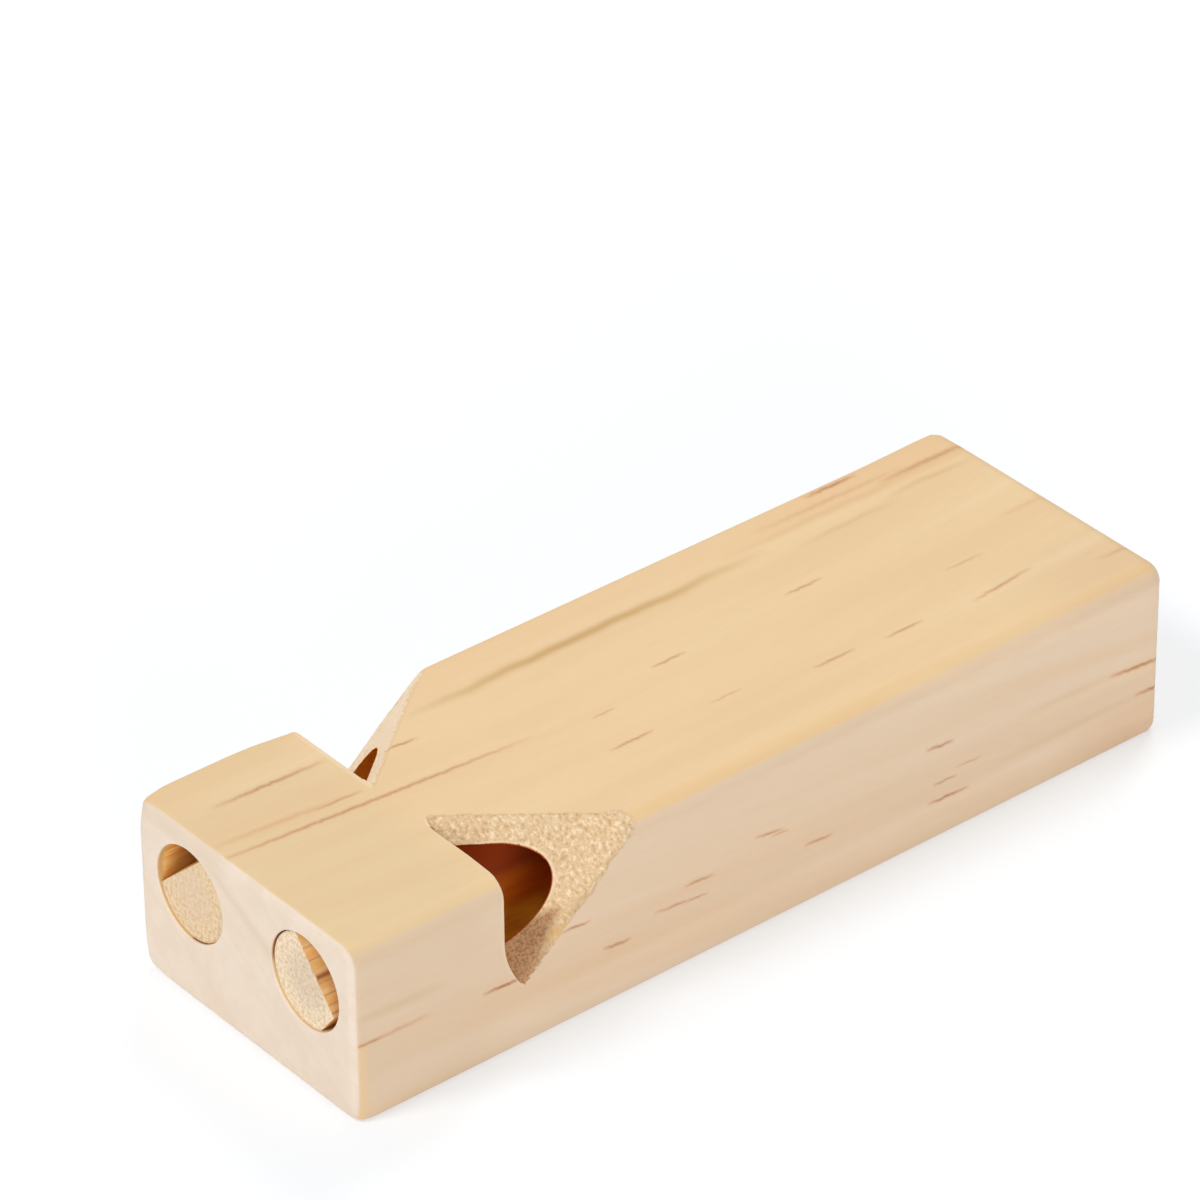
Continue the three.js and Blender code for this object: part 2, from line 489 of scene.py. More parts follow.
def on_stop_edge(edge):
    """Where a stop wall meets the block's outside, short of the wall's two thin tips."""
    if not edge.is_manifold or not edge.is_convex:
        return False
    place = (edge.verts[0].co + edge.verts[1].co) / 2
    side = LEFT if place.y > 0 else RIGHT
    from_line = place - edge_line(side)
    across = from_line.dot(across_edge(side))
    height = from_line.dot(out_of_edge(side)) - (STOP_X - RAMP_START_X) * tan(RAMP_ANGLE)
    facing = sorted(abs(face.normal.x) for face in edge.link_faces)
    on_corner = facing[0] < FACING_ASIDE and facing[1] > FACING_ALONG
    on_wall = abs(place.x - stop_wall_x(side, across)) < STOP_EDGE_NEAR_WALL
    from_axis = hypot(place.y - BORE_Y[side], place.z - BORE_Z)
    off_bore = from_axis > BORE_RADIUS + STOP_EDGE_OFF_BORE
    return on_wall and off_bore and height > STOP_EDGE_OFF_RAMP and on_corner


def whistle_body():
    body = planed_block()
    for side in (LEFT, RIGHT):
        cut_away(body, bore_cutter(side))
        cut_away(body, relief_cutter(side))
        cut_away(body, window_cutter(side))
    edit(body, "VERT")
    bpy.ops.mesh.select_all(action="SELECT")
    bpy.ops.mesh.remove_doubles(threshold=SAME_PLACE)
    leave_edit()
    round_edges(body, on_bore_mouth, BORE_RIM)
    round_edges(body, on_stop_edge, STOP_EDGE)
    smooth_shading(body)
    return body


# The plugs
def flat_plane(side, turn, depth_at_mouth, depth_at_window):
    """A point on a plug's flat and the way that the flat faces; depths are from the bore's wall."""
    outward = Vector((0, side * cos(turn), sin(turn)))
    place = Vector((MOUTH_X, BORE_Y[side], BORE_Z)) + outward * (BORE_RADIUS - depth_at_mouth)
    rise = (depth_at_mouth - depth_at_window) / (STOP_X - MOUTH_X)
    facing = (outward - Vector((rise, 0, 0))).normalized()
    return place, facing


def sand_flat(plug, place, facing):
    edit(plug, "FACE")
    bpy.ops.mesh.select_all(action="SELECT")
    bpy.ops.mesh.bisect(plane_co=place, plane_no=facing, clear_outer=True, use_fill=True)
    leave_edit()


def is_sharp(edge):
    return edge.calc_face_angle(0) > PLUG_RIM_ANGLE


def dowel_plug(side, name):
    front_x = MOUTH_X + PLUG_RECESS
    place = Vector(((front_x + STOP_X) / 2, BORE_Y[side], BORE_Z)) + PLUG_ASIDE[side]
    bpy.ops.mesh.primitive_cylinder_add(
        vertices=BORE_SIDES,
        radius=PLUG_RADIUS[side],
        depth=STOP_X - front_x,
        location=place,
        rotation=(0, pi / 2, 0),
    )
    plug = settle(bpy.context.object, name)
    sand_flat(plug, *flat_plane(side, FLAT_TURN[side], SLOT_AT_MOUTH[side], SLOT_AT_WINDOW))
    if side == RIGHT:
        gap = BORE_RADIUS - PLUG_RADIUS[side]
        sand_flat(plug, *flat_plane(side, EASE_TURN, gap + EASE_DEPTH, gap))
    round_edges(plug, is_sharp, PLUG_RIM)
    smooth_shading(plug)
    return plug


# Finishes. A colour is written as it looks in even daylight, red, green and blue out of 255, and the
# numbers of a slope are places in millimetres or levels of a noise
GRAIN_DEPTH = 0.02 * MM


def linear(level):
    share = level / 255
    return share / 12.92 if level < 10.3 else ((share + 0.055) / 1.055) ** 2.4


def shade(red, green, blue):
    return (linear(red), linear(green), linear(blue), 1)


class Finish:
    """A finish that is put together step by step, each step feeding the next."""

    def __init__(self, tree):
        self.tree = tree

    def add(self, kind, inputs, **settings):
        node = self.tree.nodes.new(kind)
        for key, value in settings.items():
            setattr(node, key, value)
        for key, value in inputs.items():
            if isinstance(value, bpy.types.NodeSocket):
                self.tree.links.new(value, node.inputs[key])
            else:
                node.inputs[key].default_value = value
        return node

    def math(self, operation, first, second=0.0, third=0.0, clamp=False):
        inputs = {0: first, 1: second, 2: third}
        return self.add("ShaderNodeMath", inputs, operation=operation, use_clamp=clamp).outputs[0]

    def times(self, first, *others):
        result = first
        for value in others:
            result = self.math("MULTIPLY", result, value)
        return result

    def plus(self, first, second):
        return self.math("ADD", first, second)

    def minus(self, first, second):
        return self.math("SUBTRACT", first, second)

    def greatest(self, values):
        result = values[0]
        for value in values[1:]:
            result = self.math("MAXIMUM", result, value)
        return result

    def length(self, first, second):
        squares = self.math("MULTIPLY_ADD", first, first, self.times(second, second))
        return self.math("SQRT", squares)

    def slope(self, value, low, high, at_low=0.0, at_high=1.0):
        inputs = {"Value": value, "From Min": low, "From Max": high, "To Min": at_low, "To Max": at_high}
        return self.add("ShaderNodeMapRange", inputs, interpolation_type="SMOOTHSTEP").outputs[0]

    def blend(self, share, first, second):
        inputs = {0: share, 6: first, 7: second}
        return self.add("ShaderNodeMix", inputs, data_type="RGBA").outputs[2]

    def point(self, x, y, z):
        return self.add("ShaderNodeCombineXYZ", {0: x, 1: y, 2: z}).outputs[0]

    def grain(self, place, scale=1.0, detail=2.0, roughness=0.5):
        inputs = {"Vector": place, "Scale": scale, "Detail": detail, "Roughness": roughness}
        return self.add("ShaderNodeTexNoise", inputs).outputs[0]

    def cells(self, place, scale):
        return self.add("ShaderNodeTexVoronoi", {"Vector": place, "Scale": scale}).outputs[0]

    def millimetres(self):
        """The place on the piece, as X, Y and Z in millimetres."""
        place = self.add("ShaderNodeTexCoord", {}).outputs["Object"]
        scaled = self.add("ShaderNodeMapping", {"Vector": place, "Scale": (1000, 1000, 1000)})
        parts = self.add("ShaderNodeSeparateXYZ", {0: scaled.outputs[0]})
        return parts.outputs[0], parts.outputs[1], parts.outputs[2]


def wood_finish(name):
    material = bpy.data.materials.new(name)
    material.use_nodes = True
    finish = Finish(material.node_tree)
    finish.shader = material.node_tree.nodes["Principled BSDF"]
    finish.material = material
    return finish


def dress(finish, colour, roughness, height):
    links = finish.tree.links
    links.new(colour, finish.shader.inputs["Base Color"])
    links.new(roughness, finish.shader.inputs["Roughness"])
    bump = finish.add("ShaderNodeBump", {"Height": height, "Distance": GRAIN_DEPTH, "Strength": 1.0})
    links.new(bump.outputs[0], finish.shader.inputs["Normal"])
    return finish.material


# Streaks and bands in the planed faces, in millimetres: where each one starts and ends in X, its place
# across at either end, and its half width. The last number is its strength. All widths and strengths are
# multiplied by these two
STREAK_WIDTH = 1.1
STREAK_STRENGTH = 1.2
TOP_STREAKS = (
    (-45, -32, 9.9, 9.4, 0.22, 0.50),
    (-49, -34, 5.0, 3.6, 0.30, 0.18),
    (-38.5, -32.5, 3.75, 3.4, 0.16, 0.40),
    (-52, -15, 3.1, 0.1, 0.20, 0.50),
    (-27.5, -23.5, 7.25, 6.75, 0.16, 0.50),
    (-11.5, -6, -6.2, -6.2, 0.15, 0.45),
    (-9.5, -6.5, -1.1, -1.1, 0.12, 0.30),
    (0, 4.5, 1.8, 1.8, 0.15, 0.45),
    (0.5, 4.5, -6.2, -6.2, 0.12, 0.22),
    (17.5, 22.5, 3.1, 3.1, 0.15, 0.42),
    (11.5, 17, -8.0, -8.0, 0.15, 0.42),
    (20, 25, -8.5, -8.5, 0.15, 0.45),
    (30.5, 39, -9.2, -8.3, 0.18, 0.42),
    (32, 37, -3.5, -3.5, 0.14, 0.22),
    (30, 37, 14.8, 14.8, 0.22, 0.60),
    (37, 52, 12.3, 12.2, 0.32, 0.40),
    (22, 42, 13.2, 12.9, 0.30, 0.16),
    (44.5, 50, -11.5, -11.5, 0.22, 0.20),
    (42, 50, 0.2, 0.2, 0.25, 0.10),
)
TOP_BANDS = (
    (-25, 22, 10.1, 10.2, 0.60, 0.72),
    (16, 50, 11.6, 11.6, 0.45, 0.30),
    (24, 38, 8.5, 9.0, 0.40, 0.22),
    (36, 48, 9.8, 9.8, 0.40, 0.28),
)
SIDE_STREAKS = (
    (-49.5, -45, 8.7, 8.6, 0.16, 0.50),
    (-48, -40, 8.65, 8.55, 0.20, 0.25),
    (-34.5, -29.5, 7.8, 7.5, 0.16, 0.75),
    (-25.3, -21.7, 10.4, 10.1, 0.13, 0.55),
    (-20.5, -17, 6.25, 5.85, 0.16, 0.60),
    (-14.5, -9.5, 7.4, 7.0, 0.14, 0.42),
    (-10.9, -7.1, 8.8, 8.55, 0.14, 0.45),
    (-10.8, -7.7, 6.95, 6.8, 0.11, 0.40),
    (-2.4, 1.4, 10.35, 9.8, 0.13, 0.48),
    (-0.4, 1.9, 9.6, 9.5, 0.10, 0.35),
    (3.6, 7.4, 6.75, 6.45, 0.14, 0.50),
    (18.6, 22.4, 10.75, 10.35, 0.15, 0.58),
    (19.6, 22.9, 6.35, 6.2, 0.12, 0.45),
    (22.5, 26, 7.15, 7.0, 0.10, 0.28),
    (19, 24.5, 4.45, 4.15, 0.15, 0.64),
    (42, 50, 8.8, 8.1, 0.19, 0.66),
    (45.5, 51, 5.2, 4.9, 0.17, 0.68),
)
SIDE_BANDS = (
    (-50, -38, 11.6, 11.0, 0.50, 0.22),
    (30, 45, 9.3, 8.8, 0.40, 0.14),
    (27, 48, 5.4, 5.1, 0.40, 0.14),
)

# Dark and golden bars on the right plug's flat: place across the flat, half width, strength
FLAT_DARK_BARS = (
    (-0.11, 0.28, 0.92),
    (-0.61, 0.10, 0.40),
    (-1.82, 0.08, 0.45),
    (-2.75, 0.10, 0.35),
    (1.55, 0.12, 0.45),
    (2.75, 0.12, 0.35),
    (-3.6, 0.12, 0.6),
)
FLAT_GOLD_BARS = (
    (2.12, 0.35, 0.6),
    (-2.45, 0.30, 0.7),
    (1.00, 0.25, 0.3),
)


def streak_group():
    """A streak with tapered ends: 1 along its middle, 0 outside it."""
    group = bpy.data.node_groups.new("grain_streak", "ShaderNodeTree")
    names = ("along", "across", "middle_along", "middle_across", "half_length", "half_width", "slope")
    for name in names:
        group.interface.new_socket(name, in_out="INPUT", socket_type="NodeSocketFloat")
    group.interface.new_socket("streak", in_out="OUTPUT", socket_type="NodeSocketFloat")
    finish = Finish(group)
    given = finish.add("NodeGroupInput", {}).outputs
    run = finish.minus(given["along"], given["middle_along"])
    share = finish.math("DIVIDE", run, given["half_length"])
    taper = finish.math("SUBTRACT", 1.0, finish.times(share, share), clamp=True)
    line = finish.math("MULTIPLY_ADD", run, given["slope"], given["middle_across"])
    aside = finish.math("DIVIDE", finish.minus(given["across"], line), given["half_width"])
    fall = finish.math("EXPONENT", finish.times(aside, aside, -1.0))
    finish.add("NodeGroupOutput", {0: finish.times(taper, fall)})
    return group


def streaks(finish, group, rows, along, across):
    """The strongest of the streaks at each place."""
    found = []
    for start, end, across_start, across_end, half_width, strength in rows:
        inputs = {
            "along": along,
            "across": across,
            "middle_along": (start + end) / 2,
            "middle_across": (across_start + across_end) / 2,
            "half_length": (end - start) / 2,
            "half_width": STREAK_WIDTH * half_width,
            "slope": (across_end - across_start) / (end - start),
        }
        streak = finish.add("ShaderNodeGroup", inputs, node_tree=group).outputs[0]
        found.append(finish.times(streak, STREAK_STRENGTH * strength))
    return finish.greatest(found)


def bars(finish, rows, across):
    """The strongest of the bars at each place across a plug's flat."""
    found = []
    for middle, half_width, strength in rows:
        aside = finish.times(finish.minus(across, middle), 1 / half_width)
        found.append(finish.times(finish.math("EXPONENT", finish.times(aside, aside, -1.0)), strength))
    return finish.greatest(found)


def off_axis(finish, side, y, z):
    """How far a point is from the middle line of a bore, in Y and in Z."""
    return finish.minus(y, BORE_Y[side] / MM), finish.minus(z, BORE_Z / MM)


class WindowPlace:
    """Where a point is: across the block's edge, under the ramp, past the stop wall and off the bore."""

    def __init__(self, finish, x, y, z):
        aside = finish.minus(finish.math("ABSOLUTE", y), WIDTH / 2 / MM)
        below = finish.minus(z, HEIGHT / MM)
        sine, cosine = sin(WINDOW_TURN), cos(WINDOW_TURN)
        out = finish.math("MULTIPLY_ADD", aside, cosine, finish.times(below, sine))
        self.across = finish.math("MULTIPLY_ADD", aside, -sine, finish.times(below, cosine))
        ramp_out = finish.times(finish.minus(x, RAMP_START_X / MM), tan(RAMP_ANGLE))
        self.under_ramp = finish.minus(ramp_out, out)

        # The right stop wall's place stands in for the left one's, which is a little further
        low = finish.math("MAXIMUM", finish.minus(STOP_BOW_BELOW["from"] / MM, self.across), 0.0)
        high = finish.math("MAXIMUM", finish.minus(self.across, STOP_BOW_ABOVE["from"] / MM), 0.0)
        low_bow = finish.times(low, low, STOP_BOW_BELOW["at_1_mm"])
        by_right = finish.slope(y, 1.0, -1.0)
        high_bow = finish.times(high, high, by_right, STOP_BOW_ABOVE[RIGHT])
        bow = finish.math("MINIMUM", finish.plus(low_bow, high_bow), STOP_BOW_LIMIT / MM)
        leaning = finish.slope(self.across, STOP_LEAN_FROM / MM, STOP_LEAN_TO / MM)
        lean = finish.times(leaning, by_right, STOP_LEAN[RIGHT] / MM)
        stop = finish.plus(finish.plus(bow, lean), (STOP_X + STOP_FURTHER[RIGHT]) / MM)
        self.past_stop = finish.minus(x, stop)

        gaps = []
        for side in (LEFT, RIGHT):
            reach = finish.length(*off_axis(finish, side, y, z))
            gaps.append(finish.minus(reach, BORE_RADIUS / MM))
        self.off_bore = finish.math("MINIMUM", *gaps)


def pine_finish():
    finish = wood_finish("planed_pine_wood")
    x, y, z = finish.millimetres()
    window = WindowPlace(finish, x, y, z)

    # The grain climbs a little towards the mouth, and bends left towards both ends, most at the far one
    bend = finish.math("MULTIPLY_ADD", finish.times(x, x), 0.001, finish.times(x, 0.01))
    grain_y = finish.minus(y, bend)
    grain_z = finish.math("MULTIPLY_ADD", x, 0.09, z)
    fibres = finish.grain(finish.point(finish.times(x, 0.05), grain_y, grain_z), 3.4, 3.0, 0.6)

    planed = planed_wood(finish, x, y, z, grain_y, grain_z, fibres)
    ends = finish.greatest([finish.slope(x, -48.38, -48.62), finish.slope(x, 48.1, 48.9)])
    colour = finish.blend(ends, planed, end_grain(finish, y, z))
    # A pale rim along the stop walls' outer edges: painted highlight
    past_stop = window.past_stop
    by_stop = finish.times(finish.slope(past_stop, -0.45, -0.1), finish.slope(past_stop, 0.4, 0.2))
    stop_rim_highlight = finish.times(finish.slope(window.under_ramp, 0.2, 0.0), by_stop, 0.35)
    colour = finish.blend(stop_rim_highlight, colour, shade(250, 226, 190))

    torn = torn_share(finish, window, x, y, z)
    tear_place = finish.point(x, finish.times(window.across, 0.6), finish.times(y, 0.2))
    tears = finish.grain(tear_place, 3.2, 3.0, 0.65)
    colour = finish.blend(torn, colour, torn_wood(finish, window, x, y, z, tears))
    colour = finish.blend(bored_share(finish, window, x), colour, bored_wood(finish, x, y, z))

    roughness = finish.math("MULTIPLY_ADD", torn, 0.2, 0.62)
    height = finish.math("MULTIPLY_ADD", finish.times(tears, torn), 4.0, finish.times(fibres, 0.5))
    return dress(finish, colour, roughness, height)


def flank_wood(finish, x, y, z, by_mouth):
    """The pinker sides, warmer in a middle band, low at the far end, by the top edge and by the mouth."""
    # Paler low down than high up: painted light, making up for the dimmer light low on the side
    flank = finish.blend(finish.slope(z, 2.0, 11.0), shade(236, 211, 183), shade(232, 207, 179))
    middle_band = finish.times(finish.slope(z, 3.6, 5.2), finish.slope(z, 10.2, 8.2))
    flank = finish.blend(middle_band, flank, shade(229, 201, 170))
    far_low = finish.times(finish.slope(x, 32.0, 46.0), finish.slope(z, 5.5, 3.5))
    flank = finish.blend(far_low, flank, shade(227, 194, 161))
    by_edge = finish.times(finish.slope(z, 16.2, 17.6), finish.slope(x, -34.0, 30.0, 0.2, 0.9))
    flank = finish.blend(by_edge, flank, shade(229, 200, 168))
    flank = finish.blend(finish.times(by_mouth, 0.6), flank, shade(224, 198, 168))
    by_corner = finish.times(finish.slope(x, -47.2, -47.9), finish.slope(z, 9.0, 8.6))
    by_corner = finish.times(by_corner, finish.slope(y, -14.6, -15.2), 0.8)
    return finish.blend(by_corner, flank, shade(235, 203, 157))


def top_wood(finish, x, y, by_mouth):
    """The yellow top, duller by the mouth and at the far end on the right."""
    upper = finish.blend(finish.times(by_mouth, 0.8), shade(237, 205, 157), shade(228, 199, 154))
    by_far_right = finish.times(finish.slope(x, 30.0, 44.0), finish.slope(y, -5.0, -9.0))
    return finish.blend(finish.times(by_far_right, 0.8), upper, shade(228, 194, 148))


def planed_wood(finish, x, y, z, grain_y, grain_z, fibres):
    """Planed long grain, with slow changes of tone, fine fibres, bands and pore streaks."""
    top = finish.slope(z, 18.1, 18.5)
    right_side = finish.slope(y, -14.9, -15.8)
    by_mouth = finish.slope(x, -29.0, -37.0)
    planed = finish.blend(top, flank_wood(finish, x, y, z, by_mouth), top_wood(finish, x, y, by_mouth))
    # A golden, darker band over the upper half of the right top edge: painted shade, holding down the light on
    # the rounded edge
    edge_band_shade = finish.times(finish.slope(z, 18.05, 18.3), finish.slope(y, -14.0, -14.6))
    band_shade_reach = finish.times(finish.slope(x, -22.0, -14.0), finish.slope(x, 20.0, 34.0, 1.0, 0.4))
    planed = finish.blend(finish.times(edge_band_shade, band_shade_reach, 0.8), planed, shade(234, 198, 147))

    slow = finish.point(finish.times(x, 0.03), grain_y, grain_z)
    tone = finish.grain(slow, 0.22, 2.0, 0.5)
    planed = finish.blend(finish.slope(tone, 0.45, 0.70, 0.0, 0.36), planed, shade(228, 190, 144))
    planed = finish.blend(finish.slope(tone, 0.45, 0.25, 0.0, 0.34), planed, shade(246, 219, 179))
    planed = finish.blend(finish.slope(fibres, 0.50, 0.80, 0.0, 0.10), planed, shade(212, 168, 114))
    planed = finish.blend(finish.slope(fibres, 0.50, 0.20, 0.0, 0.09), planed, shade(250, 226, 186))

    group = streak_group()
    wave = finish.math("MULTIPLY_ADD", finish.grain(finish.point(x, 0.0, 0.0), 0.16, 1.0), 1.2, -0.6)
    top_bands = finish.times(streaks(finish, group, TOP_BANDS, x, finish.plus(y, wave)), top)
    side_bands = finish.times(streaks(finish, group, SIDE_BANDS, x, z), right_side)
    planed = finish.blend(finish.greatest([top_bands, side_bands]), planed, shade(200, 157, 92))
    warm = finish.times(finish.slope(y, 10.3, 11.4), finish.slope(x, 12.0, 40.0, 0.25, 0.5), top)
    planed = finish.blend(warm, planed, shade(232, 190, 140))

    wobble = finish.math("MULTIPLY_ADD", finish.grain(finish.point(x, 0.0, 0.0), 0.9), 0.5, -0.25)
    top_pores = finish.times(streaks(finish, group, TOP_STREAKS, x, finish.plus(y, wobble)), top)
    side_pores = finish.times(streaks(finish, group, SIDE_STREAKS, x, finish.plus(z, wobble)), right_side)
    pores = finish.greatest([top_pores, side_pores])
    broken = finish.grain(finish.point(x, finish.times(y, 6.0), finish.times(z, 6.0)), 1.6)
    halo = finish.times(finish.math("POWER", pores, 0.3), 0.36)
    planed = finish.blend(halo, planed, shade(232, 178, 122))
    dark = finish.times(pores, finish.slope(broken, 0.3, 0.6, 0.65, 1.0))
    planed = finish.blend(dark, planed, shade(164, 92, 44))

    # On the faces that the photo hides, the pores fall at random
    scattered = finish.cells(finish.point(finish.times(x, 0.16), grain_y, grain_z), 0.42)
    seen = finish.greatest([finish.slope(z, 17.0, 17.8), right_side])
    unseen = finish.math("SUBTRACT", 1.0, seen, clamp=True)
    off_stop = finish.slope(finish.math("ABSOLUTE", finish.minus(x, STOP_X / MM)), 0.9, 1.4)
    dashes = finish.times(finish.slope(scattered, 0.11, 0.04), unseen, off_stop, 0.5)
    return finish.blend(dashes, planed, shade(170, 104, 56))


def end_grain(finish, y, z):
    """Pale end grain with soft slanting rings and fine pores."""
    place = finish.point(0.0, y, z)
    cloud = finish.grain(place, 0.28, 3.0, 0.55)
    clouded = finish.slope(cloud, 0.35, 0.65, 0.0, 0.7)
    wood = finish.blend(clouded, shade(238, 221, 202), shade(233, 213, 191))
    slant = finish.grain(finish.point(0.0, finish.math("MULTIPLY_ADD", y, -0.7, z), 0.0), 0.8, 2.0, 0.5)
    wood = finish.blend(finish.slope(slant, 0.5, 0.75, 0.0, 0.4), wood, shade(229, 209, 193))
    ring = finish.math("MULTIPLY_ADD", y, -0.55, finish.minus(z, 14.5))
    ring = finish.math("EXPONENT", finish.times(ring, ring, -1.6))
    ring = finish.times(ring, finish.slope(finish.math("ABSOLUTE", y), 7.5, 3.5))
    by_top = finish.times(finish.slope(z, 16.6, 17.8), finish.slope(y, 1.0, 4.0), 0.7)
    wood = finish.blend(finish.times(finish.greatest([ring, by_top]), 0.65), wood, shade(225, 203, 178))
    pores = finish.grain(place, 5.5, 2.0, 0.6)
    return finish.blend(finish.slope(pores, 0.50, 0.80, 0.0, 0.22), wood, shade(214, 186, 156))


def torn_share(finish, window, x, y, z):
    """1 on either ramp, with a ragged border that frays onto the planed faces."""
    fray = finish.grain(finish.point(x, y, z), 2.2, 3.0, 0.7)
    reach = finish.slope(window.across, -1.0, 1.0, 0.30, 0.60)
    reach = finish.times(reach, finish.slope(y, -1.0, 1.0, 1.0, 0.3))
    reach = finish.plus(reach, finish.slope(x, -19.5, -16.0, 0.0, 0.35))
    beside = finish.times(finish.slope(window.across, -5.6, -4.6), finish.slope(window.across, -2.4, -3.6))
    reach = finish.plus(reach, finish.times(beside, finish.slope(y, -14.6, -15.4), 0.25))
    ragged = finish.minus(finish.math("MULTIPLY_ADD", fray, 1.0, window.under_ramp), reach)
    inner = finish.slope(ragged, 0.58, 0.42)
    outer = finish.slope(window.under_ramp, -0.5, -0.35)
    short = finish.slope(x, -15.4, -17.2)
    return finish.times(inner, outer, short, finish.slope(window.past_stop, 0.02, 0.10))


def torn_wood(finish, window, x, y, z, tears):
    """Torn fibres, cream on the left; painted shadow at the right ramp's lower tip; a painted highlight by the
    lip.
    """
    wood = finish.blend(finish.slope(tears, 0.32, 0.50), shade(206, 167, 118), shade(226, 195, 153))
    wood = finish.blend(finish.slope(tears, 0.52, 0.66), wood, shade(247, 222, 187))
    # The right ramp's lower tip, in the mouth block's shadow: darker and redder, mostly painted shadow, with
    # pits, weaker towards the side
    pits = finish.grain(finish.point(x, y, z), 3.6, 2.0, 0.5)
    low = finish.blend(finish.slope(pits, 0.30, 0.62), shade(158, 112, 72), shade(198, 152, 109))
    off_side = finish.math("MULTIPLY_ADD", window.across, -0.25, finish.plus(y, 14.5))
    shaded = finish.slope(off_side, 0.05, 0.80, 0.12, 1.0)
    wood = finish.blend(finish.times(finish.slope(window.across, -3.7, -4.4), shaded), wood, low)
    # A golden patch by the side, beside the painted shadow: painted light on the rounded border
    gold = finish.times(finish.slope(window.across, -5.4, -5.9), finish.slope(window.across, -7.0, -6.4))
    gold = finish.times(gold, finish.slope(x, -27.2, -26.2), finish.slope(y, -15.2, -15.6))
    wood = finish.blend(finish.times(gold, 0.6), wood, shade(232, 186, 122))
    wood = finish.blend(finish.slope(y, -1.0, 1.0, 0.0, 0.85), wood, shade(251, 227, 196))
    # A cream band along the lip: painted highlight
    lip = finish.times(finish.slope(window.off_bore, 0.30, 0.12), finish.slope(window.across, -3.7, -2.7))
    return finish.blend(finish.times(lip, 0.6), wood, shade(244, 222, 188))


def bored_share(finish, window, x):
    """1 on the walls of either bore and of its relief."""
    wall = finish.slope(window.off_bore, 0.10, 0.02)
    under_ramp = finish.slope(window.under_ramp, 0.28, 0.36)
    past_stop = finish.times(finish.slope(x, -31.9, -31.7), finish.slope(x, -27.0, -27.4))
    relief = finish.times(under_ramp, past_stop, finish.slope(window.off_bore, 0.5, 0.4))
    bored = finish.greatest([wall, relief])
    mouth = MOUTH_X / MM
    return finish.times(bored, finish.slope(x, mouth + 0.05, mouth + 0.25), finish.slope(x, 44.0, 43.0))


def bored_wood(finish, x, y, z):
    """Tan at the mouth's rim and golden behind it; deeper in on the right, orange to red-brown, with painted
    light and shade.
    """
    grain = finish.grain(finish.point(finish.times(x, 0.12), y, z), 1.3, 3.0, 0.6)
    # Golden near the mouth and darker deeper in: painted light and shade along the bore
    depth = finish.slope(x, -46.0, -34.0)
    by_left = finish.slope(y, -1.0, 1.0)
    golden = finish.blend(finish.slope(grain, 0.38, 0.62), shade(255, 212, 132), shade(238, 166, 74))
    # Deep in the right bore: painted shade, red-brown high up, and painted light, golden low down where light
    # comes in through the window
    deep = finish.blend(finish.slope(z, 10.4, 8.6), shade(174, 68, 2), shade(250, 134, 14))
    deep = finish.blend(finish.slope(z, 8.2, 7.3), deep, shade(252, 176, 40))
    deep = finish.blend(finish.slope(grain, 0.35, 0.65, 0.0, 0.22), deep, shade(150, 60, 4))
    # Paler deep in the left bore: painted light
    deep = finish.blend(by_left, deep, shade(255, 186, 68))
    wood = finish.blend(depth, golden, deep)

    # Painted shade: the dark arc in the gap where the right plug stands off its bore, and the dark spot under
    # the left plug
    arc = bearing(finish, RIGHT, y, z, 0.83, 0.56)
    spot = bearing(finish, LEFT, y, z, -0.22, -0.98)
    dark = finish.blend(by_left, finish.slope(arc, 0.70, 0.88), finish.slope(spot, 0.970, 0.985))
    tan_rim = finish.blend(by_left, shade(230, 198, 148), shade(222, 184, 126))
    rim = finish.blend(finish.times(dark, 0.85), tan_rim, shade(146, 84, 32))
    return finish.blend(finish.slope(x, -48.1, -48.5), wood, rim)


def bearing(finish, side, y, z, toward_y, toward_z):
    """Near 1 where a bore's wall lies in one direction from the bore's middle."""
    in_y, in_z = off_axis(finish, side, y, z)
    reach = BORE_RADIUS / MM
    return finish.math("MULTIPLY_ADD", in_y, toward_y / reach, finish.times(in_z, toward_z / reach))


# The plugs' faces: the wood, its specks, its grey middle, and how deep the end grain shows on the flat
FACE_WOOD = {
    LEFT: {
        "pale": (238, 211, 172),
        "speck": (216, 185, 143),
        "grey": 0.35,
        "centre": (226, 198, 172),
        "depth": 0.6,
    },
    RIGHT: {
        "pale": (247, 226, 197),
        "speck": (224, 198, 162),
        "grey": 0.8,
        "centre": (208, 186, 162),
        "depth": 0.16,
    },
}


